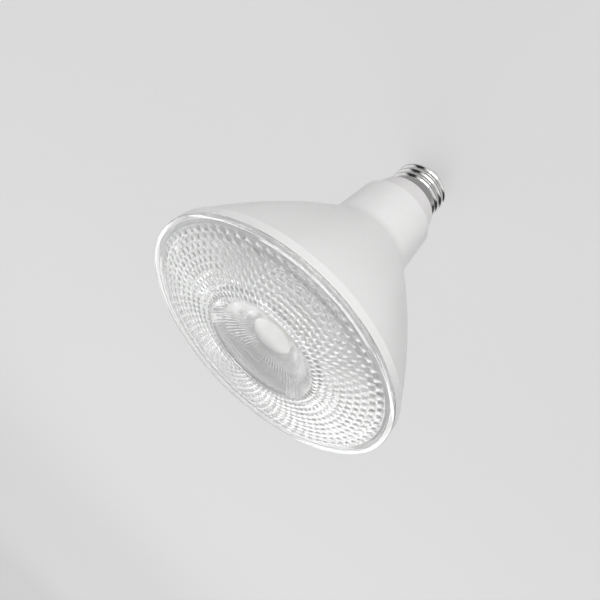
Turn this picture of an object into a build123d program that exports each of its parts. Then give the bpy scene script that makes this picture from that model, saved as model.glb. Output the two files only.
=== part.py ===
from build123d import *
import os
from math import cos, radians, sin, sqrt

# LED flood bulb, 38 eighths of an inch across, on a medium screw base.
# The lamp's axis is Z. Height 0 is the outer face of the centre contact, and the lens faces +Z.
# All sizes are in millimetres and all angles in degrees.

# Screw base
thread_diameter = 26.3
thread_depth = 0.8
thread_pitch = 25.4 / 7
thread_valley = 0.33
thread_root_overlap = 0.25
thread_fade = 1.6
thread_run_out = 0.4
thread_start_angle = 200.0
shell_height = 16.2
shell_wall = 0.5
shell_corner = 1.6
shell_skirt_length = 2.2
shell_skirt_slope = 0.9
shell_lip_width = 1.7
contact_radius = 4.8
contact_height = 1.2
contact_edge = 0.5
rivet_radius = 1.5
rivet_flare_radius = 2.6
rivet_flare_height = 0.6
insulator_height = 5.2
insulator_tip_margin = 1.4
insulator_flange = 1.8

# Collar
collar_radius = 14.4
collar_top_radius = 17.3
collar_height = 8.6
collar_wall = 2.0
collar_floor = 2.2
tongue_height = 1.8
tongue_wall = 1.2
spigot_length = 11.0
spigot_wall = 2.0

# Housing
shoulder_height = 2.2
neck_bottom_radius = 18.7
neck_top_radius = 20.9
neck_length = 24.6
valley_blend = 10.0
cone_length = 61.1
cone_bulge = 2.4
crease_step = 0.4
crease_groove = 0.5
band_height = 4.6
band_radius = 60.3
band_draft = 0.4
housing_wall = 2.0
mouth_wall = 1.4
shelf_width = 3.0
shelf_thickness = 2.5

# Lens
rim_height = 0.9
rim_flat = 2.9
rim_edge = 0.5
pattern_land = 0.2
dome_rise = 5.85
lens_wall = 2.0
lens_skirt_depth = 0.8
lens_skirt_wall = 1.8
pillow_rows = 10
pillows_per_row = 72
pillow_height = 0.5
dish_land = 0.4
dish_radius = 24.8
dish_wall_width = 3.8
dish_wall_depth = 3.5
dish_slope_width = 4.0
dish_slope_depth = 2.1
dish_step_width = 4.0
dish_step_depth = 1.4
dish_floor_width = 3.8
dish_floor_depth = 0.8
eye_rise = 2.0
dish_back_shift = 1.2
gasket_width = 2.4
gasket_height = 1.5

# Light source
light_gap = 2.0
phosphor_radius = 7.2
phosphor_height = 0.5
dam_width = 1.1
dam_height = 0.6
carrier_margin = 1.05
carrier_corner = 1.0
carrier_thickness = 1.0
board_radius = 23.0
board_thickness = 1.6
pad_thickness = 0.4
pad_margin = 0.5
fixing_margin = 4.5
fixing_count = 3
screw_radius = 1.45
screw_head_radius = 2.7
screw_head_height = 1.9
screw_head_edge = 0.6
screw_slot_width = 0.7
screw_slot_depth = 0.9
plate_thickness = 2.0
skirt_wall = 1.5
skirt_depth = 34.0
reflector_wall = 1.0
reflector_eye_margin = 0.95
reflector_step_margin = 1.0

# Supply
driver_thickness = 1.6
driver_edge_gap = 1.4
driver_margin = 1.5
driver_foot = 1.0
rail_depth = 1.8
rail_wall = 1.2
rail_below_valley = 2.0
bulk_radius = 5.0
bulk_height = 15.0
bulk_edge = 0.7
bulk_crimp = 0.4
core_width = 16.0
core_height = 14.0
core_depth = 5.0
core_leg = 2.2
core_middle_leg = 4.4
winding_depth = 11.0
winding_corner = 1.5
film_width = 12.0
film_depth = 5.0
film_height = 9.5
choke_radius = 4.5
choke_height = 9.0
choke_waist = 0.6
choke_flange = 1.2
chip_edge = 0.3
bridge_width = 6.4
bridge_depth = 5.0
bridge_height = 2.6
control_width = 5.0
control_depth = 4.0
control_height = 1.6
transistor_width = 6.6
transistor_depth = 6.2
transistor_height = 2.4
diode_width = 4.4
diode_depth = 2.8
diode_height = 2.3
fuse_radius = 1.8
fuse_height = 8.0
fuse_offset = 5.0
surge_radius = 3.6
surge_thickness = 3.4
surge_leg_radius = 0.4
surge_leg_spread = 2.4
surge_stand = 2.0
surge_offset = 6.0
part_gap = 1.2
low_parts_above_neck = 10.0
tall_parts_above_valley = 3.0

# Wires
wire_radius = 0.65
wire_bend = 2.2
wire_straight = 1.0
wire_spread = 4.0
lead_above_neck = 5.0
lead_margin = 2.4
lead_below_top = 4.0
lead_straight = 6.0
solder_radius = 1.5
solder_height = 0.9

# Clearances
fit_gap = 0.15
seat_gap = 0.3
hole_gap = 0.25

# Heights along the axis, from the contact up
z_lip = contact_height + insulator_height
z_collar = z_lip + shell_height
z_shoulder = z_collar + collar_height
z_neck = z_shoulder + shoulder_height
z_valley = z_neck + neck_length
z_band = z_valley + cone_length
z_rim = z_band + band_height

# Radii of the base and of the neck's lower end
neck_mouth_radius = collar_top_radius - housing_wall
thread_radius = thread_diameter / 2
thread_width = thread_pitch - thread_valley
root_radius = thread_radius - thread_depth
shell_bore = root_radius - shell_wall
lip_radius = shell_bore - shell_lip_width
spigot_radius = shell_bore - fit_gap
spigot_bore = spigot_radius - spigot_wall
z_spigot = z_collar - spigot_length
z_flange = z_lip + shell_wall
z_flange_top = z_flange + insulator_flange

# Heights of what stands on the driver board: low parts in the neck, tall ones in the cone
z_low_parts = z_neck + low_parts_above_neck
z_tall_parts = z_valley + tall_parts_above_valley
z_fuse = z_low_parts + fuse_radius
z_surge = z_low_parts + surge_thickness / 2
z_bridge = z_low_parts + bridge_depth / 2
z_control = z_bridge + bridge_depth / 2 + part_gap + control_depth / 2
z_bulk = z_tall_parts + bulk_radius
z_transformer = z_bulk + bulk_radius + part_gap + core_height / 2
z_film = z_tall_parts + film_depth / 2
z_transistor = z_film + film_depth / 2 + part_gap + transistor_depth / 2
z_choke = z_transistor + transistor_depth / 2 + part_gap + choke_radius
z_diode = z_choke + choke_radius + part_gap + diode_depth / 2

# Driver board between the rails of the neck
driver_half = neck_bottom_radius - housing_wall - driver_edge_gap
z_driver = z_neck + driver_foot
z_driver_top = max(z_transformer + core_height / 2, z_diode + diode_depth / 2) + driver_margin

# Places of the wires on the driver board
wire_foot = driver_thickness / 2
wire_out = wire_foot + wire_bend + wire_straight
lead_spread = core_width / 2 + wire_radius + lead_margin

# Solids that are placed by their lower face
on_floor = (Align.CENTER, Align.CENTER, Align.MIN)

# Radii of the lens
cone_end_radius = band_radius - band_draft - crease_step
rim_inner_radius = band_radius - rim_flat
pattern_outer = rim_inner_radius - pattern_land
pattern_inner = dish_radius + dish_land
dish_wall_radius = dish_radius - dish_wall_width
dish_slope_radius = dish_wall_radius - dish_slope_width
dish_step_radius = dish_slope_radius - dish_step_width
dish_floor_radius = dish_step_radius - dish_floor_width

# Dome of the lens: a sphere through the foot of the rim, with the given rise at the axis
dome_radius = (rim_inner_radius**2 + dome_rise**2) / (2 * dome_rise)


def dome_height(radius):
    """Height of the plain dome at a radius, before the pillows stand on it."""
    drop = dome_radius - sqrt(dome_radius**2 - radius**2)
    edge_drop = dome_radius - sqrt(dome_radius**2 - pattern_outer**2)
    return z_rim + rim_height / 2 + edge_drop - drop


# Heights of the light source, from the lens down
z_dish = dome_height(pattern_inner)
z_dish_wall = z_dish - dish_wall_depth
z_dish_slope = z_dish_wall - dish_slope_depth
z_dish_step = z_dish_slope - dish_step_depth
z_dish_floor = z_dish_step - dish_floor_depth
z_phosphor_top = z_dish_floor - lens_wall - light_gap
z_carrier_top = z_phosphor_top - max(phosphor_height, dam_height)
z_board_top = z_carrier_top - carrier_thickness
z_pad_top = z_board_top - board_thickness
z_plate_top = z_pad_top - pad_thickness
z_shelf = z_plate_top - plate_thickness
z_reflector_top = z_rim - lens_skirt_depth

# Radii of the light source, from the phosphor out
dam_bore = phosphor_radius + fit_gap
dam_radius = dam_bore + dam_width
carrier_side = 2 * (dam_radius + carrier_margin)
fixing_radius = board_radius - fixing_margin
reflector_eye_radius = dam_radius + reflector_eye_margin
reflector_step_radius = fixing_radius - screw_head_radius - reflector_step_margin

# Curved cone of the housing: one arc from the valley to the crease, bulged outwards
chord_across = cone_end_radius - neck_top_radius
chord = sqrt(chord_across**2 + cone_length**2)
arc_radius = (chord**2 / 4 + cone_bulge**2) / (2 * cone_bulge)
arc_back = (arc_radius - cone_bulge) / chord
arc_centre_radius = (neck_top_radius + cone_end_radius) / 2 - arc_back * cone_length
arc_centre_height = (z_valley + z_band) / 2 + arc_back * chord_across


def cone_radius(height, inset):
    """Radius of the cone's arc at a height, moved into the wall by the inset."""
    return arc_centre_radius + sqrt((arc_radius - inset)**2 - (height - arc_centre_height)**2)


def cone_height(radius, inset):
    """Height at which the cone's arc, moved in by the inset, has the given radius."""
    return arc_centre_height - sqrt((arc_radius - inset)**2 - (radius - arc_centre_radius)**2)


def cone_arc(low, high, inset):
    """Arc of the cone between two heights, as an edge in the radius and height plane."""
    middle = (low + high) / 2
    points = [(cone_radius(height, inset), height) for height in (low, middle, high)]
    return ThreePointArc(*points)


# Radii of the housing's mouth, of the lens skirt inside it and of the gasket in its rim
mouth_radius = cone_radius(z_shelf, mouth_wall)
shelf_radius = mouth_radius - shelf_width
lens_skirt_radius = mouth_radius - seat_gap
lens_skirt_bore = lens_skirt_radius - lens_skirt_wall
gasket_radius = (band_radius + mouth_radius) / 2


def turned(outline):
    """Solid turned about the lamp's axis from a closed outline of radius and height."""
    return revolve(make_face(Plane.XZ * outline))


def blended(outline, corner, radius):
    """Closed outline with the corner nearest to the given place rounded to the radius."""
    face = make_face(outline)
    vertex = face.vertices().sort_by_distance(corner)[0]
    return Curve() + list(fillet(vertex, radius).edges())


def board_plane(across, height, side):
    """Plane on one face of the driver board, looking away from the board."""
    return Plane((across, side * driver_thickness / 2, height), (1, 0, 0), (0, side, 0))


def block(width, depth, rise, height):
    """Small moulded body that stands on the back face of the driver board."""
    body = extrude(Rectangle(width, depth), rise)
    body = chamfer(body.faces().sort_by(Axis.Z)[-1].edges(), chip_edge)
    return board_plane(0, height, -1) * body


def wire(*points):
    """Insulated wire along straight runs joined by tangent arcs."""
    path = FilletPolyline(*points, radius=wire_bend)
    section = Plane(path @ 0, z_dir=path % 0) * Circle(wire_radius)
    return sweep(section, path)


def polar(count, start=90):
    """Angles of a pattern of equal steps around the axis."""
    return [start + step * 360 / count for step in range(count)]


def at_angle(radius, angle, height):
    """Place at a radius and an angle around the axis."""
    return Pos(radius * cos(radians(angle)), radius * sin(radians(angle)), height)


# Screw shell: thin rolled sheet with a helical thread, a plain skirt and a turned-in lip
def make_screw_shell():
    thread_top = z_collar - shell_skirt_length
    thread_bottom = z_lip + shell_corner
    outside = Polyline(
        (lip_radius, z_lip),
        (root_radius - shell_corner, z_lip),
    )
    outside += RadiusArc((root_radius - shell_corner, z_lip), (root_radius, thread_bottom), -shell_corner)
    outside += Polyline(
        (root_radius, thread_bottom),
        (root_radius, thread_top - shell_skirt_slope),
        (thread_radius, thread_top),
        (thread_radius, z_collar),
        (thread_radius - shell_wall, z_collar),
        (thread_radius - shell_wall, thread_top),
        (shell_bore, thread_top - shell_skirt_slope),
        (shell_bore, z_flange),
        (lip_radius, z_flange),
        (lip_radius, z_lip),
    )
    sheet = turned(outside)

    inner = root_radius - thread_root_overlap
    half = thread_width / 2
    ridge_outline = ThreePointArc((inner, -half), (thread_radius, 0), (inner, half))
    ridge_outline += Line((inner, half), (inner, -half))
    ridge_top = thread_top - shell_skirt_slope
    path = Helix(thread_pitch, ridge_top - thread_run_out - thread_bottom, inner)
    ridge = sweep(Plane.XZ * make_face(ridge_outline), path, is_frenet=True)
    ridge = Pos(0, 0, thread_bottom) * Rot(0, 0, thread_start_angle) * ridge

    envelope = turned(Polyline(
        (shell_bore, thread_bottom),
        (root_radius, thread_bottom),
        (thread_radius + fit_gap, thread_bottom + thread_fade),
        (thread_radius + fit_gap, ridge_top - shell_skirt_slope),
        (root_radius, ridge_top),
        (shell_bore, ridge_top),
        close=True,
    ))
    return sheet + (ridge & envelope)


# Insulator between the shell and the contact, with a flange held above the lip
def make_base_insulator():
    neck = lip_radius - fit_gap
    body = turned(Polyline(
        (rivet_radius + fit_gap, contact_height),
        (contact_radius + insulator_tip_margin, contact_height),
        (neck, z_lip),
        (neck, z_flange),
        (shell_bore - fit_gap, z_flange),
        (shell_bore - fit_gap, z_flange_top),
        (rivet_radius + fit_gap, z_flange_top),
        close=True,
    ))
    return body


# Contact button with a rivet through the insulator, flared on its inner side
def make_centre_contact():
    button = turned(Polyline(
        (0, 0),
        (contact_radius, 0),
        (contact_radius, contact_height),
        (rivet_radius, contact_height),
        (rivet_radius, z_flange_top),
        (rivet_flare_radius, z_flange_top),
        (rivet_flare_radius, z_flange_top + rivet_flare_height),
        (0, z_flange_top + rivet_flare_height),
        close=True,
    ))
    return fillet(button.edges().group_by(Axis.Z)[0], contact_edge)


# Collar: moulded ring with a spigot inside the screw shell and a tongue inside the neck
def make_base_collar():
    z_floor = z_collar + collar_floor
    z_tongue = z_shoulder + tongue_height
    slope = (collar_top_radius - collar_radius) / collar_height
    floor_radius = collar_radius + slope * collar_floor - collar_wall
    tongue_radius = neck_mouth_radius - fit_gap
    tongue_bore = tongue_radius - tongue_wall
    return turned(Polyline(
        (spigot_bore, z_spigot),
        (spigot_radius, z_spigot),
        (spigot_radius, z_collar),
        (collar_radius, z_collar),
        (collar_top_radius, z_shoulder),
        (tongue_radius, z_shoulder),
        (tongue_radius, z_tongue),
        (tongue_bore, z_tongue),
        (floor_radius, z_floor),
        (spigot_bore, z_floor),
        close=True,
    ))


# Housing: one moulded shell from the shoulder on the collar to the rim under the lens
def make_housing():
    groove_half = gasket_width / 2 + fit_gap
    z_groove = z_rim - gasket_height
    inner_valley = neck_top_radius - housing_wall
    z_inner_valley = cone_height(inner_valley, housing_wall)
    z_shelf_foot = z_shelf - shelf_thickness
    wall_at_shelf = cone_radius(z_shelf_foot - shelf_width, housing_wall)

    outline = Line((neck_mouth_radius, z_shoulder), (collar_top_radius, z_shoulder))
    outline += TangentArc(
        (neck_bottom_radius, z_neck),
        (collar_top_radius, z_shoulder),
        tangent=(neck_bottom_radius - neck_top_radius, -neck_length),
    )
    outline += Line((neck_bottom_radius, z_neck), (neck_top_radius, z_valley))
    outline += cone_arc(z_valley, z_band, 0)
    outline += Polyline(
        (cone_end_radius, z_band),
        (band_radius - band_draft, z_band + crease_groove),
        (band_radius, z_rim),
        (gasket_radius + groove_half, z_rim),
        (gasket_radius + groove_half, z_groove),
        (gasket_radius - groove_half, z_groove),
        (gasket_radius - groove_half, z_rim),
        (mouth_radius, z_rim),
        (mouth_radius, z_shelf),
        (shelf_radius, z_shelf),
        (shelf_radius, z_shelf_foot),
        (wall_at_shelf, z_shelf_foot - shelf_width),
    )
    outline += cone_arc(z_inner_valley, z_shelf_foot - shelf_width, housing_wall)
    outline += Polyline(
        (inner_valley, z_inner_valley),
        (neck_bottom_radius - housing_wall, z_neck),
        (neck_mouth_radius, z_shoulder),
    )
    outline = blended(outline, (neck_top_radius, z_valley), valley_blend)
    outline = blended(outline, (inner_valley, z_inner_valley), valley_blend + housing_wall)
    shell = turned(outline)

    rail_half = driver_thickness / 2 + fit_gap + rail_wall
    rail_inner = driver_half - rail_depth
    rail_length = z_valley - rail_below_valley - z_neck
    bar = Pos(0, 0, z_neck) * Box(2 * neck_top_radius, 2 * rail_half, rail_length, align=on_floor)
    middle = Pos(0, 0, z_neck) * Box(2 * rail_inner, 2 * rail_half, rail_length, align=on_floor)
    slot_width = 2 * (driver_half + fit_gap)
    slot_thickness = driver_thickness + 2 * fit_gap
    slot = Pos(0, 0, z_driver) * Box(slot_width, slot_thickness, rail_length, align=on_floor)
    neck_core = turned(Polyline(
        (0, z_neck),
        (neck_bottom_radius - housing_wall / 2, z_neck),
        (neck_top_radius - housing_wall / 2, z_valley),
        (0, z_valley),
        close=True,
    ))
    rails = (bar - middle - slot) & neck_core
    return shell + rails


# Lens: plain rim, domed field of pillows in staggered rows, and a stepped dish with an eye
def dome_point(radius, angle, rise=0):
    """Point on the dome at a radius and an angle, lifted by the rise."""
    across = radius * cos(radians(angle))
    along = radius * sin(radians(angle))
    return Vector(across, along, dome_height(radius) + rise)


def pillow_facets():
    """Facets of the pillows: each is a low hip on six points that its neighbours share."""
    row_pitch = (pattern_outer - pattern_inner) / pillow_rows
    half_step = 180 / pillows_per_row
    facets = []
    for row in range(pillow_rows):
        inner = pattern_inner + row * row_pitch
        outer = inner + row_pitch
        near = [dome_point(inner, angle) for angle in (-half_step, 0, half_step)]
        far = [dome_point(outer, angle) for angle in (half_step, 0, -half_step)]
        corners = near + far
        crest = dome_point((inner + outer) / 2, 0, pillow_height)
        pairs = zip(corners, corners[1:] + corners[:1])
        pillow = [Face(Wire.make_polygon([first, second, crest])) for first, second in pairs]
        stagger = half_step * (row % 2)
        for step in range(pillows_per_row):
            turn = Rot(0, 0, stagger + step * 2 * half_step)
            facets += [turn * facet for facet in pillow]
    return facets


def pattern_edge(radius):
    """Closed outline of the pillows where their field ends, at one height."""
    half_step = 180 / pillows_per_row
    return Wire.make_polygon([dome_point(radius, step * half_step) for step in range(2 * pillows_per_row)])


def make_lens_cover():
    z_land = dome_height(pattern_outer)
    z_top = z_rim + rim_height
    z_back = z_dish_floor - lens_wall
    eye_radius = (dish_floor_radius**2 + eye_rise**2) / (2 * eye_rise)
    eye_mid = dish_floor_radius / 2
    eye_mid_drop = eye_radius - sqrt(eye_radius**2 - eye_mid**2)
    z_eye = z_dish_floor + eye_rise
    back_radii = (lens_skirt_bore, (lens_skirt_bore + dish_radius) / 2, dish_radius + dish_back_shift)
    back = [(radius, dome_height(radius) - lens_wall) for radius in back_radii]

    outline = ThreePointArc((0, z_eye), (eye_mid, z_eye - eye_mid_drop), (dish_floor_radius, z_dish_floor))
    outline += Polyline(
        (dish_floor_radius, z_dish_floor),
        (dish_step_radius, z_dish_step),
        (dish_slope_radius, z_dish_slope),
        (dish_wall_radius, z_dish_wall),
        (dish_radius, z_dish),
        (rim_inner_radius, z_land),
        (rim_inner_radius, z_top),
        (band_radius - rim_edge, z_top),
    )
    outline += RadiusArc((band_radius - rim_edge, z_top), (band_radius, z_top - rim_edge), rim_edge)
    outline += Polyline(
        (band_radius, z_top - rim_edge),
        (band_radius, z_rim),
        (lens_skirt_radius, z_rim),
        (lens_skirt_radius, z_reflector_top),
        (lens_skirt_bore, z_reflector_top),
        back[0],
    )
    outline += ThreePointArc(*back)
    outline += Polyline(
        back[2],
        (dish_wall_radius + dish_back_shift, z_dish_wall - lens_wall),
        (dish_slope_radius + dish_back_shift / 2, z_dish_slope - lens_wall),
        (dish_step_radius + dish_back_shift / 4, z_dish_step - lens_wall),
        (dish_floor_radius, z_back),
        (0, z_back),
        (0, z_eye),
    )
    plain = turned(outline)

    middle_radius = (dish_radius + rim_inner_radius) / 2
    on_field = Vector(middle_radius, 0, (z_dish + z_land) / 2)
    field = min(plain.faces(), key=lambda face: face.distance_to(Vertex(on_field)))
    kept = [face for face in plain.faces() if face != field]
    dish_edge = Wire.make_circle(dish_radius, Plane.XY.offset(z_dish))
    rim_foot = Wire.make_circle(rim_inner_radius, Plane.XY.offset(z_land))
    inner_land = Face(pattern_edge(pattern_inner), [dish_edge])
    outer_land = Face(rim_foot, [pattern_edge(pattern_outer)])
    return Solid(Shell(kept + [inner_land, outer_land] + pillow_facets()))


# Gasket in the groove of the housing's rim, pressed by the lens
def make_lens_gasket():
    inner = gasket_radius - gasket_width / 2
    outer = gasket_radius + gasket_width / 2
    return Pos(0, 0, z_rim - gasket_height) * extrude(Circle(outer) - Circle(inner), gasket_height)


# Reflector: pale ring that stands on the heat sink and is held down by the lens
def make_reflector():
    z_eye_edge = z_carrier_top + fit_gap
    z_step = z_board_top + screw_head_height + seat_gap + reflector_wall
    foot_bore = lens_skirt_radius - reflector_wall
    outline = Polyline(
        (foot_bore, z_plate_top),
        (lens_skirt_radius, z_plate_top),
        (lens_skirt_radius, z_reflector_top),
        (lens_skirt_bore, z_reflector_top),
        (reflector_step_radius, z_step),
        (reflector_eye_radius, z_eye_edge),
        (reflector_eye_radius + reflector_wall, z_eye_edge),
        (reflector_step_radius + reflector_wall / 2, z_step - reflector_wall),
        (foot_bore, z_reflector_top - reflector_wall),
        close=True,
    )
    return turned(outline)


# Holes for the fixings and the two leads, through everything between the driver and the light
def fixing_holes(radius):
    return [at_angle(fixing_radius, angle, z_shelf) * Cylinder(radius, z_board_top - z_shelf, align=on_floor)
            for angle in polar(fixing_count)]


def lead_holes():
    radius = wire_radius + hole_gap
    return [Pos(side * fixing_radius, 0, z_shelf) * Cylinder(radius, z_board_top - z_shelf, align=on_floor)
            for side in (-1, 1)]


# Heat sink: plate on the housing's shelf, with a skirt that follows the cone
def make_heat_sink():
    plate_radius = mouth_radius - seat_gap
    top_radius = shelf_radius - seat_gap
    inset = arc_radius - sqrt((top_radius - arc_centre_radius)**2 + (z_shelf - arc_centre_height)**2)
    inner = inset + skirt_wall
    z_skirt = z_shelf - skirt_depth
    outline = Polyline((0, z_plate_top), (0, z_shelf), (cone_radius(z_shelf, inner), z_shelf))
    outline += cone_arc(z_skirt, z_shelf, inner)
    outline += Line((cone_radius(z_skirt, inner), z_skirt), (cone_radius(z_skirt, inset), z_skirt))
    outline += cone_arc(z_skirt, z_shelf, inset)
    outline += Polyline(
        (top_radius, z_shelf),
        (plate_radius, z_shelf),
        (plate_radius, z_plate_top),
        (0, z_plate_top),
    )
    return turned(outline) - fixing_holes(screw_radius + fit_gap) - lead_holes()


def make_thermal_pad():
    pad = Pos(0, 0, z_plate_top) * Cylinder(board_radius - pad_margin, pad_thickness, align=on_floor)
    return pad - fixing_holes(screw_radius + hole_gap) - lead_holes()


def make_led_board():
    board = Pos(0, 0, z_pad_top) * Cylinder(board_radius, board_thickness, align=on_floor)
    return board - fixing_holes(screw_radius + hole_gap) - lead_holes()


def make_led_carrier():
    square = RectangleRounded(carrier_side, carrier_side, carrier_corner)
    return Pos(0, 0, z_board_top) * extrude(square, carrier_thickness)


def make_led_dam():
    ring = Circle(dam_radius) - Circle(dam_bore)
    return Pos(0, 0, z_carrier_top) * extrude(ring, dam_height)


def make_led_phosphor():
    return Pos(0, 0, z_carrier_top) * Cylinder(phosphor_radius, phosphor_height, align=on_floor)


# Screws that hold the light source's board to the heat sink
def make_led_board_screws():
    head = Cylinder(screw_head_radius, screw_head_height, align=on_floor)
    head = fillet(head.edges().group_by(Axis.Z)[-1], screw_head_edge)
    slot = Pos(0, 0, screw_head_height - screw_slot_depth) * Box(
        screw_head_radius, screw_slot_width, screw_slot_depth, align=on_floor)
    head = head - slot - Rot(0, 0, 90) * slot
    shank_length = z_board_top - z_shelf
    shank = Pos(0, 0, -shank_length) * Cylinder(screw_radius, shank_length, align=on_floor)
    screw = head + shank
    return Part() + [at_angle(fixing_radius, angle, z_board_top) * screw for angle in polar(fixing_count)]


# Driver board, slid into the rails of the neck
def make_driver_board():
    length = z_driver_top - z_driver
    return Pos(0, 0, z_driver) * Box(2 * driver_half, driver_thickness, length, align=on_floor)


def standing(outline, across, height, side):
    """Turned piece that stands on one face of the driver board."""
    return board_plane(across, height, side) * turned(outline)


def make_bulk_capacitor():
    crimp = bulk_radius - bulk_crimp
    outline = Polyline(
        (0, 0),
        (bulk_radius, 0),
        (bulk_radius, 2 * bulk_crimp),
        (crimp, 3 * bulk_crimp),
        (bulk_radius, 4 * bulk_crimp),
        (bulk_radius, bulk_height),
        (0, bulk_height),
        close=True,
    )
    body = turned(outline)
    body = fillet(body.edges().group_by(Axis.Z)[-1], bulk_edge)
    return board_plane(0, z_bulk, 1) * body


def make_film_capacitor():
    return block(film_width, film_depth, film_height, z_film)


# Transformer: a closed ferrite frame with three legs, and the coil round its middle leg
core_window = (core_width - 2 * core_leg - core_middle_leg) / 2
core_window_height = core_height - 2 * core_leg
transformer_place = Pos(0, driver_thickness / 2 + winding_depth / 2, z_transformer)


def make_transformer_core():
    frame = Box(core_width, core_depth, core_height)
    offset = (core_middle_leg + core_window) / 2
    window = Box(core_window, core_depth, core_window_height)
    return transformer_place * (frame - [Pos(side * offset, 0, 0) * window for side in (-1, 1)])


def make_transformer_winding():
    width = core_middle_leg + 2 * (core_window - fit_gap)
    length = core_window_height - 2 * fit_gap
    coil = Box(width, winding_depth, length)
    coil = fillet(coil.edges().filter_by(Axis.Z), winding_corner)
    hole = Box(core_middle_leg + 2 * fit_gap, core_depth + 2 * fit_gap, length)
    return transformer_place * (coil - hole)


def make_input_choke():
    waist = choke_radius - choke_waist
    outline = Polyline(
        (0, 0),
        (choke_radius, 0),
        (choke_radius, choke_flange),
        (waist, choke_flange),
        (waist, choke_height - choke_flange),
        (choke_radius, choke_height - choke_flange),
        (choke_radius, choke_height),
        (0, choke_height),
        close=True,
    )
    return standing(outline, 0, z_choke, -1)


def make_fuse_resistor():
    outline = Polyline((0, 0), (fuse_radius, 0), (fuse_radius, fuse_height), (0, fuse_height), close=True)
    return standing(outline, -fuse_offset, z_fuse, 1)


def make_surge_disc():
    disc_centre = surge_stand + surge_radius
    disc = Pos(0, 0, disc_centre) * Rot(90, 0, 0) * Cylinder(surge_radius, surge_thickness)
    leg = Cylinder(surge_leg_radius, disc_centre, align=on_floor)
    legs = [Pos(side * surge_leg_spread / 2, 0, 0) * leg for side in (-1, 1)]
    return board_plane(surge_offset, z_surge, 1) * (disc + legs)


# Wires between the base, the driver board and the light source
def make_live_lead():
    start = z_neck + lead_above_neck
    return wire(
        (wire_spread, wire_foot, start),
        (wire_spread, wire_out, start),
        (wire_spread, wire_out, z_collar + collar_floor),
        (0, 0, (z_collar + z_spigot) / 2),
        (0, 0, z_flange_top + rivet_flare_height),
    )


def make_neutral_lead():
    start = z_neck + lead_above_neck
    turn = (z_spigot + z_flange_top) / 2
    end = sqrt((shell_bore - fit_gap)**2 - (wire_out + wire_radius)**2)
    return wire(
        (-wire_spread, wire_foot, start),
        (-wire_spread, wire_out, start),
        (-wire_spread, wire_out, turn),
        (-end, wire_out, turn),
    )


def make_led_lead(side):
    start = z_driver_top - lead_below_top
    lead = wire(
        (side * lead_spread, wire_foot, start),
        (side * lead_spread, wire_out, start),
        (side * lead_spread, wire_out, z_driver_top + lead_below_top),
        (side * fixing_radius, 0, z_shelf - lead_straight),
        (side * fixing_radius, 0, z_board_top + solder_height / 2),
    )
    joint = Cone(solder_radius, wire_radius, solder_height, align=on_floor)
    return lead + Pos(side * fixing_radius, 0, z_board_top) * joint


pieces = {
    "screw_shell": make_screw_shell(),
    "base_insulator": make_base_insulator(),
    "centre_contact": make_centre_contact(),
    "base_collar": make_base_collar(),
    "housing": make_housing(),
    "lens_cover": make_lens_cover(),
    "lens_gasket": make_lens_gasket(),
    "reflector": make_reflector(),
    "heat_sink": make_heat_sink(),
    "thermal_pad": make_thermal_pad(),
    "led_board": make_led_board(),
    "led_carrier": make_led_carrier(),
    "led_dam": make_led_dam(),
    "led_phosphor": make_led_phosphor(),
    "led_board_screws": make_led_board_screws(),
    "driver_board": make_driver_board(),
    "bulk_capacitor": make_bulk_capacitor(),
    "film_capacitor": make_film_capacitor(),
    "transformer_core": make_transformer_core(),
    "transformer_winding": make_transformer_winding(),
    "input_choke": make_input_choke(),
    "bridge_rectifier": block(bridge_width, bridge_depth, bridge_height, z_bridge),
    "control_chip": block(control_width, control_depth, control_height, z_control),
    "power_transistor": block(transistor_width, transistor_depth, transistor_height, z_transistor),
    "output_diode": block(diode_width, diode_depth, diode_height, z_diode),
    "fuse_resistor": make_fuse_resistor(),
    "surge_disc": make_surge_disc(),
    "live_lead": make_live_lead(),
    "neutral_lead": make_neutral_lead(),
    "led_lead_positive": make_led_lead(1),
    "led_lead_negative": make_led_lead(-1),
}

os.makedirs("parts", exist_ok=True)
for node, shape in pieces.items():
    export_step(shape, f"parts/{node}.step")
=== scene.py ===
"""LED flood bulb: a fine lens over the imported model, the finish of every piece, and the stage."""
import math

import bmesh
import bpy
from bpy.props import FloatProperty, FloatVectorProperty, IntProperty, PointerProperty
from bpy.types import Operator, Panel, PropertyGroup
from mathutils import Matrix, Vector


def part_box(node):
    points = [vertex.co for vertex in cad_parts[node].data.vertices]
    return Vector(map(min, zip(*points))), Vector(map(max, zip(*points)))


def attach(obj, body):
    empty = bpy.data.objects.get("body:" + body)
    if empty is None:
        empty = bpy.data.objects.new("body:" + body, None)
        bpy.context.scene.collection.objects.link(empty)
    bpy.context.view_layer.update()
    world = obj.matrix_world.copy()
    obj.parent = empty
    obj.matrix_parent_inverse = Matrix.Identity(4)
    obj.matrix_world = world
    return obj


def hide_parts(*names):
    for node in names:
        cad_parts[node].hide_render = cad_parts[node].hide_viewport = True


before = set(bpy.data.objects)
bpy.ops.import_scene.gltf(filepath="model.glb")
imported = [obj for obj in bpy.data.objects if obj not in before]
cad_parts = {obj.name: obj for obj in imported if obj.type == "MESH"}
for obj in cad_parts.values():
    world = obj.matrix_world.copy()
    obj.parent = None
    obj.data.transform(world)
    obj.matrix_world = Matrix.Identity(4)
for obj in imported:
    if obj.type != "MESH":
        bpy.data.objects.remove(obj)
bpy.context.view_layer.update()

bl_info = {
    "name": "LED Flood Bulb",
    "version": (1, 0, 0),
    "blender": (4, 5, 0),
    "location": "View3D > Sidebar > Bulb",
    "description": "Builds the fine lens, the finishes and the stage of a flood bulb",
    "category": "Object",
}

MM = 0.001
LENS_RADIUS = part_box("lens_cover")[1].x
REFLECTOR_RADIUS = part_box("reflector")[1].x
Z_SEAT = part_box("housing")[1].z

# Play of the lens on its seat, and the distance under which corners are one
PLAY = 0.04 * MM
WELD = 2e-6

# Faces along each side of a pillow
PILLOW_FACES = 6

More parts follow.
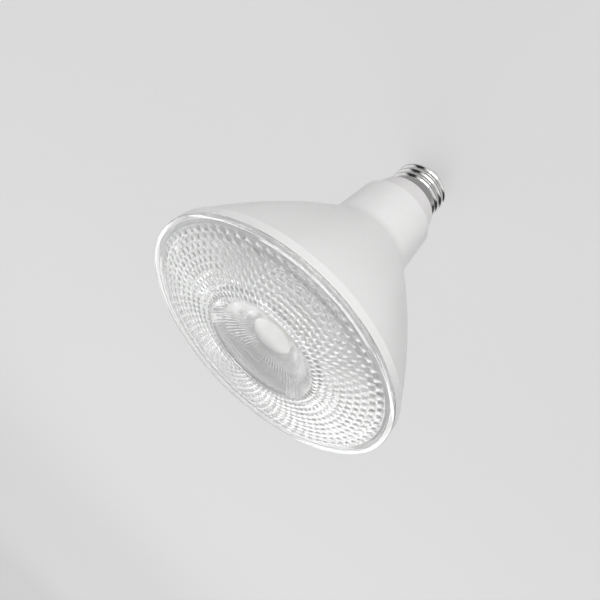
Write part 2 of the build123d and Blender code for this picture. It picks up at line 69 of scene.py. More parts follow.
# Corners of the dish from its lip to its floor: millimetres inwards, down, and outwards to their back
DISH_CORNERS = ((3.8, 3.5, 1.2), (7.8, 5.6, 0.6), (11.8, 7.0, 0.3), (15.6, 7.8, 0.0))
DISH_LIP = 0.4 * MM
EYE_SHARES = (0, 0.25, 0.5, 0.75)
RIM_FOOT = 0.2 * MM

# Millimetres from the axis where the film on the reflector starts and ends, each with its fade
FILM_START = (20.0, 24.0)
FILM_END = (53.5, 54.0)
REFLECTOR_FILM = 0.9
SEAT_FILM = 0.6
SEAT_ROUGHNESS = 0.08
EYE_FROST = 0.42

# Height of the bulb's middle, at which the lamps point
MIDDLE = Vector((0, 0, 0.08))

# Lamps: azimuth and elevation in degrees, distance, size, power, share of it, and if seen through the lens
LAMPS = {
    "right_back_light": (55, 36, 0.9, (0.5, 0.3), "back_light", 0.5, False),
    "left_back_light": (125, 36, 0.9, (0.5, 0.3), "back_light", 1.2, False),
    "low_right_light": (70, 14, 2.0, (0.7, 0.8), "low_light", 0.4, False),
    "low_left_light": (110, 14, 2.0, (0.7, 0.8), "low_light", 1.2, False),
    "back_strip": (90, 37, 1.126, (0.9, 0.045), "strip_light", 1.0, False),
    "back_light": (90, 26, 1.0, (0.9, 0.1), "strip_light", 1.0, True),
    "front_light": (268, 12, 1.2, (0.8, 0.8), "front_light", 1.0, False),
}

# Grey cards round the bulb: azimuth and spread in degrees, outline of radius, height and rounding, tone
SIDE_OUTLINE = ((0.045, 0.0003, 0), (0.25, 0.0003, 0.02), (0.25, 0.3, 0))
LOW_OUTLINE = ((0.022, 0.0002, 0), (0.062, 0.0002, 0))
CARDS = {
    "right_flag": (324, 60, SIDE_OUTLINE, 0.03),
    "left_flag": (175, 60, SIDE_OUTLINE, 0.03),
    "low_card": (275, 300, LOW_OUTLINE, 0.3),
}


def length(name, description, millimetres):
    """A size in metres, given in millimetres."""
    return FloatProperty(
        name=name, description=description, default=millimetres * MM, unit="LENGTH", precision=5
    )


def colour(name, description, red, green, blue):
    """A colour without alpha."""
    return FloatVectorProperty(
        name=name, description=description, default=(red, green, blue), subtype="COLOR", size=3, min=0, max=1
    )


def power(name, description, watts):
    """Power of a lamp."""
    return FloatProperty(name=name, description=description, default=watts, unit="POWER")


# Sizes and colours


class BulbLensSizes(PropertyGroup):
    """Sizes of the lens."""

    rim_radius: length("Rim Radius", "Outer radius of the lens", LENS_RADIUS / MM)
    rim_height: length("Rim Height", "Height of the rim over the housing", 0.9)
    rim_flat: length("Rim Flat", "Width of the plain rim", 2.9)
    rim_edge: length("Rim Edge", "Rounding of the outer edge", 0.45)
    land: length("Land", "Plain ring between the rim and the pillows", 1.5)
    dome_rise: length("Dome Rise", "Rise of the domed field", 5.85)
    wall: length("Wall", "Thickness of the lens", 2.0)
    skirt_depth: length("Skirt Depth", "Depth of the skirt inside the housing", 0.8)
    skirt_wall: length("Skirt Wall", "Thickness of the skirt", 1.8)
    pillow_rows: IntProperty(name="Pillow Rows", description="Rings of pillows", default=10, min=1)
    pillows: IntProperty(name="Pillows", description="Pillows in each ring", default=72, min=8)
    pillow_height: length("Pillow Height", "Crown of each pillow", 0.45)
    dish_radius: length("Dish Radius", "Radius of the dish's lip", 24.8)
    eye_radius: length("Eye Radius", "Radius of the bulging eye in the dish", 9.2)
    eye_rise: length("Eye Rise", "Crown of the eye", 2.0)
    flutes: IntProperty(name="Flutes", description="Radial flutes in the dish", default=72, min=8)
    flute_depth: length("Flute Depth", "Depth of the flutes in the dish", 0.1)


class BulbFinishes(PropertyGroup):
    """Colours of the bulb."""

    housing: colour("Housing", "White moulding of the cone and the neck", 0.84, 0.84, 0.835)
    collar: colour("Collar", "White moulding of the collar", 0.81, 0.79, 0.79)
    lens: colour("Lens", "Clear moulding of the lens", 0.93, 0.932, 0.932)
    reflector: colour("Reflector", "Bright reflector under the lens", 0.66, 0.66, 0.655)
    plate: colour("Plate", "Bright plating of the screw shell", 0.86, 0.855, 0.85)
    phosphor: colour("Phosphor", "Coat of the light source", 0.6, 0.58, 0.52)


class BulbStage(PropertyGroup):
    """Camera and light."""

    camera_place: FloatVectorProperty(
        name="Camera Place",
        description="Where the camera stands",
        default=(0.0, -0.29293, 0.27964),
        subtype="XYZ",
    )
    camera_turn: FloatVectorProperty(
        name="Camera Turn",
        description="Turn of the camera",
        default=(-0.852947, 0.650204, -2.663609),
        subtype="EULER",
    )
    lens_length: FloatProperty(
        name="Focal Length", description="Focal length of the camera", default=50.0, unit="CAMERA"
    )
    floor: colour("Floor", "Pale floor", 0.78, 0.78, 0.78)
    backdrop: colour("Backdrop", "Pale room round the floor", 0.86, 0.86, 0.86)
    ceiling: colour("Ceiling", "Grey of the room overhead", 0.4, 0.4, 0.4)
    back_light: power("Back Light", "Power of the back lights at the sides", 1.6)
    low_light: power("Low Light", "Power of the low back lights", 3.6)
    strip_light: power("Strip Light", "Power of the strips straight behind", 0.7)
    front_light: power("Front Light", "Power of the front light", 8.7)
    fill: FloatProperty(name="Fill", description="Strength of the light all round", default=0.45, min=0)


# Mesh helpers


def new_piece(name, bm, material, *nodes):
    """Object at the origin made from the bmesh, riding on the bulb and standing for CAD nodes."""
    bmesh.ops.recalc_face_normals(bm, faces=bm.faces)
    for face in bm.faces:
        face.smooth = True
    mesh = bpy.data.meshes.new(name)
    bm.to_mesh(mesh)
    bm.free()
    mesh.materials.append(material)
    piece = bpy.data.objects.new(name, mesh)
    bpy.context.scene.collection.objects.link(piece)
    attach(piece, "root")
    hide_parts(*nodes)
    return piece


def profile(bm, corners):
    """Edges through corners of (radius, height, rounding), with the rounded corners bevelled."""
    points = [bm.verts.new((radius, 0, height)) for radius, height, rounding in corners]
    for pair in zip(points, points[1:]):
        bm.edges.new(pair)
    for point, (radius, height, rounding) in zip(points, corners):
        if rounding:
            bmesh.ops.bevel(
                bm, geom=[point], offset=rounding, offset_type="OFFSET", segments=4, profile=0.5,
                affect="VERTICES", material=-1,
            )


def spin_all(bm, steps):
    """Turn every edge of the bmesh once about the bulb's axis."""
    geom = bm.verts[:] + bm.edges[:]
    bmesh.ops.spin(
        bm, geom=geom, cent=(0, 0, 0), axis=(0, 0, 1), angle=math.tau, steps=steps, use_merge=True,
    )
    bmesh.ops.remove_doubles(bm, verts=bm.verts, dist=WELD / 2)


# Shader helpers


def group_input(group, name, kind, default):
    """Input socket of a node group."""
    socket = group.interface.new_socket(name=name, in_out="INPUT", socket_type=kind)
    socket.default_value = default


def make_grain_group():
    """Fine grain that changes over the surface: a mask from 0 to 1 and a height for bump."""
    group = bpy.data.node_groups.new("Grain", "ShaderNodeTree")
    group_input(group, "Scale", "NodeSocketFloat", 100.0)
    group_input(group, "Detail", "NodeSocketFloat", 4.0)
    group_input(group, "Low", "NodeSocketFloat", 0.35)
    group_input(group, "High", "NodeSocketFloat", 0.65)
    group.interface.new_socket(name="Mask", in_out="OUTPUT", socket_type="NodeSocketFloat")
    group.interface.new_socket(name="Height", in_out="OUTPUT", socket_type="NodeSocketFloat")
    nodes, links = group.nodes, group.links
    start = nodes.new("NodeGroupInput")
    end = nodes.new("NodeGroupOutput")
    place = nodes.new("ShaderNodeTexCoord")
    noise = nodes.new("ShaderNodeTexNoise")
    spread = nodes.new("ShaderNodeMapRange")
    links.new(place.outputs["Object"], noise.inputs["Vector"])
    links.new(start.outputs["Scale"], noise.inputs["Scale"])
    links.new(start.outputs["Detail"], noise.inputs["Detail"])
    links.new(noise.outputs["Fac"], spread.inputs["Value"])
    links.new(start.outputs["Low"], spread.inputs["From Min"])
    links.new(start.outputs["High"], spread.inputs["From Max"])
    links.new(spread.outputs["Result"], end.inputs["Mask"])
    links.new(noise.outputs["Fac"], end.inputs["Height"])


def make_ring_group():
    """Mask that is 1 inside the first radius about the bulb's axis and fades to 0 at the second."""
    group = bpy.data.node_groups.new("Ring", "ShaderNodeTree")
    group_input(group, "Full", "NodeSocketFloat", 0.01)
    group_input(group, "Gone", "NodeSocketFloat", 0.011)
    group.interface.new_socket(name="Mask", in_out="OUTPUT", socket_type="NodeSocketFloat")
    nodes, links = group.nodes, group.links
    start = nodes.new("NodeGroupInput")
    end = nodes.new("NodeGroupOutput")
    place = nodes.new("ShaderNodeTexCoord")
    flat = nodes.new("ShaderNodeVectorMath")
    flat.operation = "MULTIPLY"
    flat.inputs[1].default_value = (1, 1, 0)
    radius = nodes.new("ShaderNodeVectorMath")
    radius.operation = "LENGTH"
    fade = nodes.new("ShaderNodeMapRange")
    fade.inputs["To Min"].default_value = 1.0
    fade.inputs["To Max"].default_value = 0.0
    links.new(place.outputs["Object"], flat.inputs[0])
    links.new(flat.outputs["Vector"], radius.inputs[0])
    links.new(radius.outputs["Value"], fade.inputs["Value"])
    links.new(start.outputs["Full"], fade.inputs["From Min"])
    links.new(start.outputs["Gone"], fade.inputs["From Max"])
    links.new(fade.outputs["Result"], end.inputs["Mask"])


def ring_value(material, full, gone, inside):
    """Value that is given inside a radius and fades to 0 at a second radius."""
    nodes, links = material.node_tree.nodes, material.node_tree.links
    ring = nodes.new("ShaderNodeGroup")
    ring.node_tree = bpy.data.node_groups["Ring"]
    ring.inputs["Full"].default_value = full
    ring.inputs["Gone"].default_value = gone
    spread = nodes.new("ShaderNodeMapRange")
    spread.inputs["To Min"].default_value = 0.0
    spread.inputs["To Max"].default_value = inside
    links.new(ring.outputs["Mask"], spread.inputs["Value"])
    return spread.outputs["Result"]


def blend_colours(nodes, links, mask, first, second):
    """Colour that goes from the first to the second by the mask."""
    mix = nodes.new("ShaderNodeMix")
    mix.data_type = "RGBA"
    links.new(mask, mix.inputs["Factor"])
    mix.inputs["A"].default_value = (*first, 1)
    mix.inputs["B"].default_value = (*second, 1)
    return mix.outputs["Result"]


def calculate(nodes, links, operation, first, second):
    """Value from two sockets, or from a socket and a number."""
    node = nodes.new("ShaderNodeMath")
    node.operation = operation
    links.new(first, node.inputs[0])
    if isinstance(second, float):
        node.inputs[1].default_value = second
    else:
        links.new(second, node.inputs[1])
    return node.outputs["Value"]


def finish(name, base, scale, vary, rough, metallic=0.0, bump=0.0, specular=0.5):
    """Material whose colour and roughness follow the grain, with a fine bump."""
    material = bpy.data.materials.new(name)
    material.use_nodes = True
    nodes, links = material.node_tree.nodes, material.node_tree.links
    shader = nodes["Principled BSDF"]
    grain = nodes.new("ShaderNodeGroup")
    grain.node_tree = bpy.data.node_groups["Grain"]
    grain.inputs["Scale"].default_value = scale
    darker = tuple(channel * (1 - vary) for channel in base)
    lighter = tuple(min(1, channel * (1 + vary)) for channel in base)
    shade = blend_colours(nodes, links, grain.outputs["Mask"], darker, lighter)
    links.new(shade, shader.inputs["Base Color"])
    spread = nodes.new("ShaderNodeMapRange")
    spread.inputs["To Min"].default_value = rough[0]
    spread.inputs["To Max"].default_value = rough[1]
    links.new(grain.outputs["Mask"], spread.inputs["Value"])
    links.new(spread.outputs["Result"], shader.inputs["Roughness"])
    shader.inputs["Metallic"].default_value = metallic
    shader.inputs["Specular IOR Level"].default_value = specular
    if bump:
        relief = nodes.new("ShaderNodeBump")
        relief.inputs["Strength"].default_value = 0.5
        relief.inputs["Distance"].default_value = bump * MM
        links.new(grain.outputs["Height"], relief.inputs["Height"])
        links.new(relief.outputs["Normal"], shader.inputs["Normal"])
    return material


def clear_finish(name, base, eye_radius):
    """Clear moulding with a frosted eye: bends light, and lets lamps through to what it covers."""
    material = finish(name, base, 60.0, 0.012, (0.015, 0.045))
    nodes, links = material.node_tree.nodes, material.node_tree.links
    shader = nodes["Principled BSDF"]
    grain = shader.inputs["Roughness"].links[0].from_socket
    frost = ring_value(material, eye_radius * 0.94, eye_radius * 1.04, EYE_FROST)
    links.new(calculate(nodes, links, "MAXIMUM", grain, frost), shader.inputs["Roughness"])
    shader.inputs["Transmission Weight"].default_value = 0.9
    shader.inputs["IOR"].default_value = 1.49
    path = nodes.new("ShaderNodeLightPath")
    open_way = nodes.new("ShaderNodeBsdfTransparent")
    open_way.inputs["Color"].default_value = (0.8, 0.8, 0.8, 1)
    mix = nodes.new("ShaderNodeMixShader")
    links.new(path.outputs["Is Shadow Ray"], mix.inputs["Fac"])
    links.new(shader.outputs["BSDF"], mix.inputs[1])
    links.new(open_way.outputs["BSDF"], mix.inputs[2])
    links.new(mix.outputs["Shader"], nodes["Material Output"].inputs["Surface"])
    return material


# Pieces


class BULB_OT_lens(Operator):
    """Lens with rows of staggered pillows, a fluted dish, an eye and a plain rim"""

    bl_idname = "bulb.lens"
    bl_label = "Lens"

    def execute(self, context):
        size = context.scene.bulb_lens
        bm = bmesh.new()
        self.add_pillows(bm, size)
        self.add_turned(bm, size)
        bmesh.ops.remove_doubles(bm, verts=bm.verts, dist=WELD)
        clear = clear_finish("Clear Lens", context.scene.bulb_finishes.lens, size.eye_radius)
        lens = new_piece("lens", bm, clear, "lens_cover")
        return {"FINISHED"}

    def field(self, size):
        """Inner and outer radius of the field of pillows."""
        return size.dish_radius + DISH_LIP, size.rim_radius - size.rim_flat - size.land

    def height(self, size, radius):
        """Height of the plain dome at a radius."""
        rim_inner = size.rim_radius - size.rim_flat
        dome = (rim_inner**2 + size.dome_rise**2) / (2 * size.dome_rise)
        foot = rim_inner - RIM_FOOT
        z_foot = Z_SEAT + size.rim_height / 2
        return z_foot + math.sqrt(dome**2 - radius**2) - math.sqrt(dome**2 - foot**2)

    def add_pillows(self, bm, size):
        """Rings of pillows, each turned by half a pillow against the ring inside it."""
        inner, outer = self.field(size)
        pitch = (outer - inner) / size.pillow_rows
        half = math.pi / size.pillows
        turn = math.tau * (size.pillows - 1) / size.pillows
        for row in range(size.pillow_rows):
            grid = bmesh.ops.create_grid(bm, x_segments=PILLOW_FACES, y_segments=PILLOW_FACES, size=0.5)
            patch = grid["verts"]
            for vert in patch:
                across, along = 2 * vert.co.x, 2 * vert.co.y
                radius = inner + pitch * (row + (along + 1) / 2)
                angle = half * (across + row % 2)
                z = self.height(size, radius) + size.pillow_height * (1 - across**2) * (1 - along**2)
                vert.co = (radius * math.cos(angle), radius * math.sin(angle), z)
            faces = list({face for vert in patch for face in vert.link_faces})
            edges = list({edge for vert in patch for edge in vert.link_edges})
            bmesh.ops.spin(
                bm, geom=patch + edges + faces, cent=(0, 0, 0), axis=(0, 0, 1), angle=turn,
                steps=size.pillows - 1, use_duplicate=True,
            )
        bmesh.ops.remove_doubles(bm, verts=bm.verts, dist=WELD)

    def add_turned(self, bm, size):
        """Dish, rim, skirt and back, turned about the axis."""
        inner, outer = self.field(size)
        z_dish = self.height(size, inner)
        corners = [(size.dish_radius - inward * MM, z_dish - down * MM) for inward, down, out in DISH_CORNERS]
        z_floor = corners[-1][1]
        eye = [(size.eye_radius * share, z_floor + size.eye_rise * (1 - share**2), 0) for share in EYE_SHARES]
        dish = [
            *eye,
            (size.eye_radius, z_floor, 0.15 * MM),
            *[(radius, z, 0.3 * MM) for radius, z in reversed(corners[:-1])],
            (size.dish_radius, z_dish, 0.15 * MM),
            (inner, z_dish, 0),
        ]

        # The land has close loops at both sides, so that smooth shading leaves it flat
        rim_inner = size.rim_radius - size.rim_flat
        skirt = REFLECTOR_RADIUS - PLAY
        bore = skirt - size.skirt_wall
        z_land = self.height(size, outer)
        z_top = Z_SEAT + size.rim_height
        z_under = Z_SEAT + PLAY
        z_skirt = Z_SEAT - size.skirt_depth + PLAY
        rim = [
            (outer, z_land, 0),
            (outer + 0.1 * MM, z_land, 0),
            (rim_inner - RIM_FOOT, z_land, 0),
            (rim_inner, z_land, 0.12 * MM),
            (rim_inner, z_top, 0.2 * MM),
            (size.rim_radius, z_top, size.rim_edge),
            (size.rim_radius, z_under, 0.1 * MM),
            (skirt, z_under, 0),
            (skirt, z_skirt, 0.1 * MM),
            (bore, z_skirt, 0.08 * MM),
        ]

        back_end = size.dish_radius + DISH_CORNERS[0][2] * MM
        back_radii = [bore + (back_end - bore) * share / 6 for share in range(7)]
        back = [(radius, self.height(size, radius) - size.wall, 0) for radius in back_radii]
        for (radius, z), (inward, down, out) in zip(corners, DISH_CORNERS):
            back.append((radius + out * MM, z - size.wall, 0.6 * MM))
        back.append((0, z_floor - size.wall, 0))

        turned = bmesh.new()
        profile(turned, dish)
        profile(turned, rim + back)
        spin_all(turned, size.pillows * PILLOW_FACES)
        self.flute(turned, size, z_floor)
        mesh = bpy.data.meshes.new("turned")
        turned.to_mesh(mesh)
        turned.free()
        bm.from_mesh(mesh)
        bpy.data.meshes.remove(mesh)

    def flute(self, bm, size, z_floor):
        """Radial waves on the dish that fade out at its eye and its lip."""
        width = size.dish_radius - size.eye_radius
        for vert in bm.verts:
            radius = math.hypot(vert.co.x, vert.co.y)
            if size.eye_radius < radius < size.dish_radius and vert.co.z > z_floor:
                angle = math.atan2(vert.co.y, vert.co.x)
                share = math.sin(math.pi * (radius - size.eye_radius) / width)
                vert.co.z += size.flute_depth * share * math.cos(angle * size.flutes)


class BULB_OT_finishes(Operator):
    """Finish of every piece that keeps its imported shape"""

    bl_idname = "bulb.finishes"
    bl_label = "Finishes"

    def execute(self, context):
        colours = context.scene.bulb_finishes
        chip = finish("Chip Moulding", (0.03, 0.03, 0.033), 1500.0, 0.2, (0.45, 0.6))
        finishes = {
            "housing": finish("White Moulding", colours.housing, 900.0, 0.012, (0.36, 0.46), bump=0.02),
            "base_collar": finish("Collar Moulding", colours.collar, 900.0, 0.012, (0.36, 0.46), bump=0.02),
            "screw_shell": finish("Bright Plate", colours.plate, 500.0, 0.03, (0.08, 0.16), metallic=1.0),
            "centre_contact": finish("Tinned Contact", (0.74, 0.72, 0.68), 700.0, 0.06, (0.25, 0.45), 1.0),
            "base_insulator": finish("Black Glass", (0.02, 0.018, 0.022), 400.0, 0.2, (0.08, 0.15)),
            "lens_gasket": finish("Pale Silicone", (0.72, 0.72, 0.71), 900.0, 0.04, (0.5, 0.65)),
            "reflector": finish("Bright Reflector", colours.reflector, 300.0, 0.01, (0.04, 0.07)),
            "heat_sink": finish("Spun Metal", (0.7, 0.71, 0.73), 400.0, 0.05, (0.3, 0.45), metallic=1.0),
            "thermal_pad": finish("Grey Pad", (0.4, 0.41, 0.43), 900.0, 0.08, (0.7, 0.8)),
            "led_board": finish("White Mask", (0.84, 0.84, 0.82), 500.0, 0.02, (0.35, 0.45)),
            "led_carrier": finish("White Ceramic", (0.84, 0.83, 0.8), 700.0, 0.02, (0.3, 0.4)),
            "led_dam": finish("White Dam", (0.86, 0.85, 0.81), 900.0, 0.02, (0.3, 0.4)),
            "led_phosphor": finish("Phosphor Gel", colours.phosphor, 1500.0, 0.04, (0.25, 0.4)),
            "led_board_screws": finish("Plated Steel", (0.62, 0.62, 0.64), 900.0, 0.05, (0.2, 0.35), 1.0),
            "led_lead_positive": finish("Red Sleeve", (0.5, 0.03, 0.03), 900.0, 0.08, (0.4, 0.5)),
            "led_lead_negative": finish("Black Sleeve", (0.02, 0.02, 0.02), 900.0, 0.1, (0.4, 0.5)),
            "driver_board": finish("Green Mask", (0.03, 0.16, 0.07), 500.0, 0.1, (0.3, 0.4)),
            "bulk_capacitor": finish("Black Can Sleeve", (0.025, 0.025, 0.03), 800.0, 0.1, (0.25, 0.35)),
            "film_capacitor": finish("Yellow Epoxy", (0.6, 0.42, 0.06), 800.0, 0.06, (0.3, 0.4)),
            "transformer_core": finish("Grey Ferrite", (0.06, 0.06, 0.065), 1200.0, 0.15, (0.55, 0.7)),
            "transformer_winding": finish("Winding Tape", (0.68, 0.52, 0.08), 300.0, 0.06, (0.25, 0.35)),
            "input_choke": finish("Choke Sleeve", (0.05, 0.05, 0.055), 1200.0, 0.15, (0.5, 0.65)),
            "bridge_rectifier": chip,
            "control_chip": chip,
            "power_transistor": chip,
            "output_diode": chip,
            "fuse_resistor": finish("Cement Coat", (0.42, 0.43, 0.38), 1200.0, 0.08, (0.6, 0.75)),
            "surge_disc": finish("Blue Dip", (0.03, 0.09, 0.32), 900.0, 0.08, (0.25, 0.4)),
            "live_lead": finish("Live Sleeve", (0.022, 0.022, 0.022), 900.0, 0.1, (0.4, 0.5)),
            "neutral_lead": finish("Neutral Sleeve", (0.75, 0.75, 0.73), 900.0, 0.04, (0.4, 0.5)),
        }
        self.brighten_ring(finishes["reflector"])
        self.brighten_seat(finishes["housing"])
        for name, material in finishes.items():
            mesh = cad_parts[name].data
            mesh.materials.clear()
            mesh.materials.append(material)
        return {"FINISHED"}

    def brighten_ring(self, material):
        """Bright film on the reflector between its plain middle and its plain foot."""
        nodes, links = material.node_tree.nodes, material.node_tree.links
        whole = ring_value(material, FILM_END[0] * MM, FILM_END[1] * MM, REFLECTOR_FILM)
        middle = ring_value(material, FILM_START[0] * MM, FILM_START[1] * MM, REFLECTOR_FILM)
        film = calculate(nodes, links, "SUBTRACT", whole, middle)
        links.new(film, nodes["Principled BSDF"].inputs["Metallic"])

    def brighten_seat(self, material):
        """Bright, smooth film on the seat of the lens, the highest face of the housing."""
        nodes, links = material.node_tree.nodes, material.node_tree.links
        shader = nodes["Principled BSDF"]
        place = nodes.new("ShaderNodeTexCoord")
        split = nodes.new("ShaderNodeSeparateXYZ")
        film = nodes.new("ShaderNodeMapRange")
        film.inputs["From Min"].default_value = Z_SEAT - 0.05 * MM
        film.inputs["From Max"].default_value = Z_SEAT - 0.04 * MM
        film.inputs["To Max"].default_value = SEAT_FILM
        gloss = nodes.new("ShaderNodeMapRange")
        gloss.inputs["From Max"].default_value = SEAT_FILM
        gloss.inputs["To Min"].default_value = 1.0
        gloss.inputs["To Max"].default_value = SEAT_ROUGHNESS
        links.new(place.outputs["Object"], split.inputs["Vector"])
        links.new(split.outputs["Z"], film.inputs["Value"])
        links.new(film.outputs["Result"], gloss.inputs["Value"])
        grain = shader.inputs["Roughness"].links[0].from_socket
        smooth = calculate(nodes, links, "MINIMUM", gloss.outputs["Result"], grain)
        links.new(smooth, shader.inputs["Roughness"])
        links.new(film.outputs["Result"], shader.inputs["Metallic"])


class BULB_OT_stage(Operator):
    """Pale floor, soft lights and the camera"""

    bl_idname = "bulb.stage"
    bl_label = "Stage"

    def execute(self, context):
        scene = context.scene
        settings = scene.bulb_stage
        bm = bmesh.new()
        bmesh.ops.create_circle(bm, cap_ends=True, segments=64, radius=4.0)
        self.stage_piece(scene, "floor", bm, self.pale_floor(settings))
        for name, (azimuth, elevation, distance, size, kind, share, through) in LAMPS.items():
            lamp = self.lamp(scene, name, azimuth, elevation, distance, size, getattr(settings, kind) * share)
            lamp.visible_transmission = through
        for name, (azimuth, spread, outline, tone) in CARDS.items():
            self.card(scene, name, azimuth, spread, outline, tone)
        self.room(scene, settings)

        camera = bpy.data.objects.new("camera", bpy.data.cameras.new("camera"))
        scene.collection.objects.link(camera)
        camera.location = settings.camera_place
        camera.rotation_euler = settings.camera_turn
        camera.data.lens = settings.lens_length
        camera.data.sensor_width = 36.0
        camera.data.clip_start = 0.01
        scene.camera = camera
        scene.view_settings.view_transform = "Standard"

        # Light runs to and fro many times inside the pillows
        scene.cycles.max_bounces = 24
        scene.cycles.glossy_bounces = 14
        scene.cycles.transmission_bounces = 24
        return {"FINISHED"}

    def room(self, scene, settings):
        """Even light all round, seen as a pale room with a grey ceiling."""
        world = bpy.data.worlds.new("Studio")
        scene.world = world
        world.use_nodes = True
        nodes, links = world.node_tree.nodes, world.node_tree.links
        nodes.clear()
        out = nodes.new("ShaderNodeOutputWorld")
        light = nodes.new("ShaderNodeBackground")
        light.inputs["Color"].default_value = (1, 1, 1, 1)
        light.inputs["Strength"].default_value = settings.fill
        seen = nodes.new("ShaderNodeBackground")
        place = nodes.new("ShaderNodeTexCoord")
        split = nodes.new("ShaderNodeSeparateXYZ")
        rise = nodes.new("ShaderNodeMapRange")
        rise.inputs["From Min"].default_value = 0.3
        rise.inputs["From Max"].default_value = 0.85
        links.new(place.outputs["Generated"], split.inputs["Vector"])
        links.new(split.outputs["Z"], rise.inputs["Value"])
        shade = blend_colours(nodes, links, rise.outputs["Result"], settings.backdrop, settings.ceiling)
        links.new(shade, seen.inputs["Color"])
        mix = nodes.new("ShaderNodeMixShader")
        links.new(self.seen_ray(nodes, links), mix.inputs["Fac"])
        links.new(light.outputs["Background"], mix.inputs[1])
        links.new(seen.outputs["Background"], mix.inputs[2])
        links.new(mix.outputs["Shader"], out.inputs["Surface"])

    def seen_ray(self, nodes, links):
        """Value that is 1 for rays that show the background: straight, mirrored or through the lens."""
        path = nodes.new("ShaderNodeLightPath")
        camera, mirrored = path.outputs["Is Camera Ray"], path.outputs["Is Glossy Ray"]
        either = calculate(nodes, links, "MAXIMUM", camera, mirrored)
        return calculate(nodes, links, "MAXIMUM", either, path.outputs["Is Transmission Ray"])

    def pale_floor(self, settings):
        """Pale floor that keeps a soft shadow."""
        material = finish("Pale Floor", (0.6, 0.6, 0.6), 3.0, 0.01, (0.8, 0.9), specular=0.1)
        nodes, links = material.node_tree.nodes, material.node_tree.links
        glow = nodes.new("ShaderNodeEmission")
        glow.inputs["Color"].default_value = (*settings.floor, 1)
        mix = nodes.new("ShaderNodeMixShader")
        part = calculate(nodes, links, "MULTIPLY", self.seen_ray(nodes, links), 0.7)
        links.new(part, mix.inputs["Fac"])
        links.new(nodes["Principled BSDF"].outputs["BSDF"], mix.inputs[1])
        links.new(glow.outputs["Emission"], mix.inputs[2])
        links.new(mix.outputs["Shader"], nodes["Material Output"].inputs["Surface"])
        return material

    def card(self, scene, name, azimuth, spread, outline, tone):
        """Grey card round part of the bulb, darkest in its middle, that shows only in bright surfaces."""
        bm = bmesh.new()
        profile(bm, outline)
        start = math.radians(azimuth - spread / 2)
        bmesh.ops.rotate(bm, cent=(0, 0, 0), matrix=Matrix.Rotation(start, 3, "Z"), verts=bm.verts)
        geom = bm.verts[:] + bm.edges[:]
        bmesh.ops.spin(bm, geom=geom, cent=(0, 0, 0), axis=(0, 0, 1), angle=math.radians(spread), steps=12)
        card = self.stage_piece(scene, name, bm, self.card_finish(name, azimuth, spread, tone))
        card.visible_camera = False
        card.visible_diffuse = False
        card.visible_transmission = False
        card.visible_shadow = False

    def card_finish(self, name, azimuth, spread, tone):
        """Glow that fades from a dark middle to pale ends."""
        material = bpy.data.materials.new(name)
        material.use_nodes = True
        nodes, links = material.node_tree.nodes, material.node_tree.links
        nodes.clear()
        out = nodes.new("ShaderNodeOutputMaterial")
        glow = nodes.new("ShaderNodeEmission")
        place = nodes.new("ShaderNodeTexCoord")
        turn = nodes.new("ShaderNodeMapping")
        turn.inputs["Rotation"].default_value = (0, 0, math.radians(-azimuth))
        angle = nodes.new("ShaderNodeTexGradient")
        angle.gradient_type = "RADIAL"
        links.new(place.outputs["Object"], turn.inputs["Vector"])
        links.new(turn.outputs["Vector"], angle.inputs["Vector"])
        aside = nodes.new("ShaderNodeMath")
        aside.operation = "ABSOLUTE"
        links.new(calculate(nodes, links, "SUBTRACT", angle.outputs["Fac"], 0.5), aside.inputs[0])
        half_turns = spread / 720
        fade = nodes.new("ShaderNodeMapRange")
        fade.interpolation_type = "SMOOTHSTEP"
        fade.inputs["From Min"].default_value = half_turns * 0.35
        fade.inputs["From Max"].default_value = half_turns
        fade.inputs["To Min"].default_value = tone
        fade.inputs["To Max"].default_value = 0.8
        links.new(aside.outputs["Value"], fade.inputs["Value"])
        links.new(fade.outputs["Result"], glow.inputs["Color"])
        links.new(glow.outputs["Emission"], out.inputs["Surface"])
        return material

    def stage_piece(self, scene, name, bm, material):
        """Object of the stage, which is no part of the bulb."""
        mesh = bpy.data.meshes.new(name)
        bm.to_mesh(mesh)
        bm.free()
        mesh.materials.append(material)
        piece = bpy.data.objects.new(name, mesh)
        scene.collection.objects.link(piece)
        return piece

    def lamp(self, scene, name, azimuth, elevation, distance, size, watts):
        """Soft rectangular lamp at an azimuth and elevation in degrees, facing the bulb's middle."""
        data = bpy.data.lights.new(name, "AREA")
        data.shape = "RECTANGLE"
        data.size, data.size_y = size
        data.energy = watts
        lamp = bpy.data.objects.new(name, data)
        scene.collection.objects.link(lamp)
        turn, rise = math.radians(azimuth), math.radians(elevation)
        way = Vector((math.cos(turn) * math.cos(rise), math.sin(turn) * math.cos(rise), math.sin(rise)))
        lamp.location = way * distance + MIDDLE
        lamp.rotation_euler = way.to_track_quat("Z", "Y").to_euler()
        lamp.visible_camera = False
        return lamp


class BULB_PT_panel(Panel):
    """Tools and sizes of the bulb"""

    bl_idname = "BULB_PT_panel"
    bl_label = "Flood Bulb"
    bl_space_type = "VIEW_3D"
    bl_region_type = "UI"
    bl_category = "Bulb"

    def draw(self, context):
        for operator in OPERATORS:
            self.layout.operator(operator.bl_idname)
        for group in ("bulb_lens", "bulb_finishes", "bulb_stage"):
            box = self.layout.box()
            settings = getattr(context.scene, group)
            for name in settings.__annotations__:
                box.prop(settings, name)


OPERATORS = (BULB_OT_lens, BULB_OT_finishes, BULB_OT_stage)
CLASSES = (BulbLensSizes, BulbFinishes, BulbStage, *OPERATORS, BULB_PT_panel)


def register():
    for cls in CLASSES:
        bpy.utils.register_class(cls)
    bpy.types.Scene.bulb_lens = PointerProperty(type=BulbLensSizes)
    bpy.types.Scene.bulb_finishes = PointerProperty(type=BulbFinishes)
    bpy.types.Scene.bulb_stage = PointerProperty(type=BulbStage)


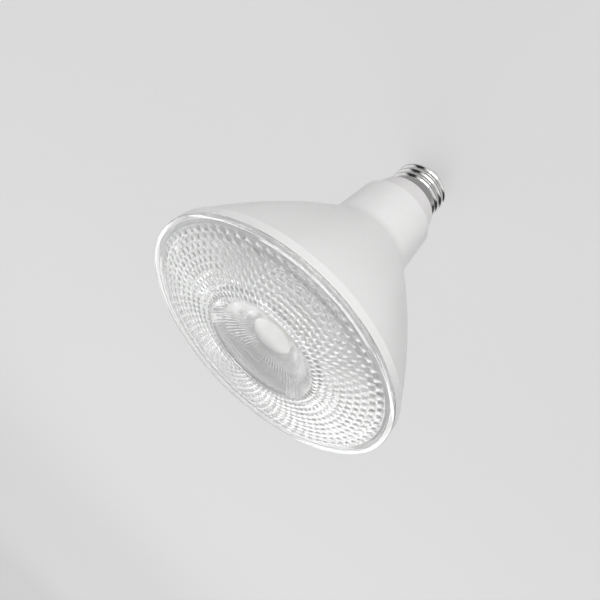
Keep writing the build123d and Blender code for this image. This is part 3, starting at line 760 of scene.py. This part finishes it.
def unregister():
    del bpy.types.Scene.bulb_lens, bpy.types.Scene.bulb_finishes, bpy.types.Scene.bulb_stage
    for cls in reversed(CLASSES):
        bpy.utils.unregister_class(cls)


def main():
    register()
    make_grain_group()
    make_ring_group()
    bpy.ops.bulb.lens()
    bpy.ops.bulb.finishes()
    bpy.ops.bulb.stage()


if __name__ == "__main__":
    main()
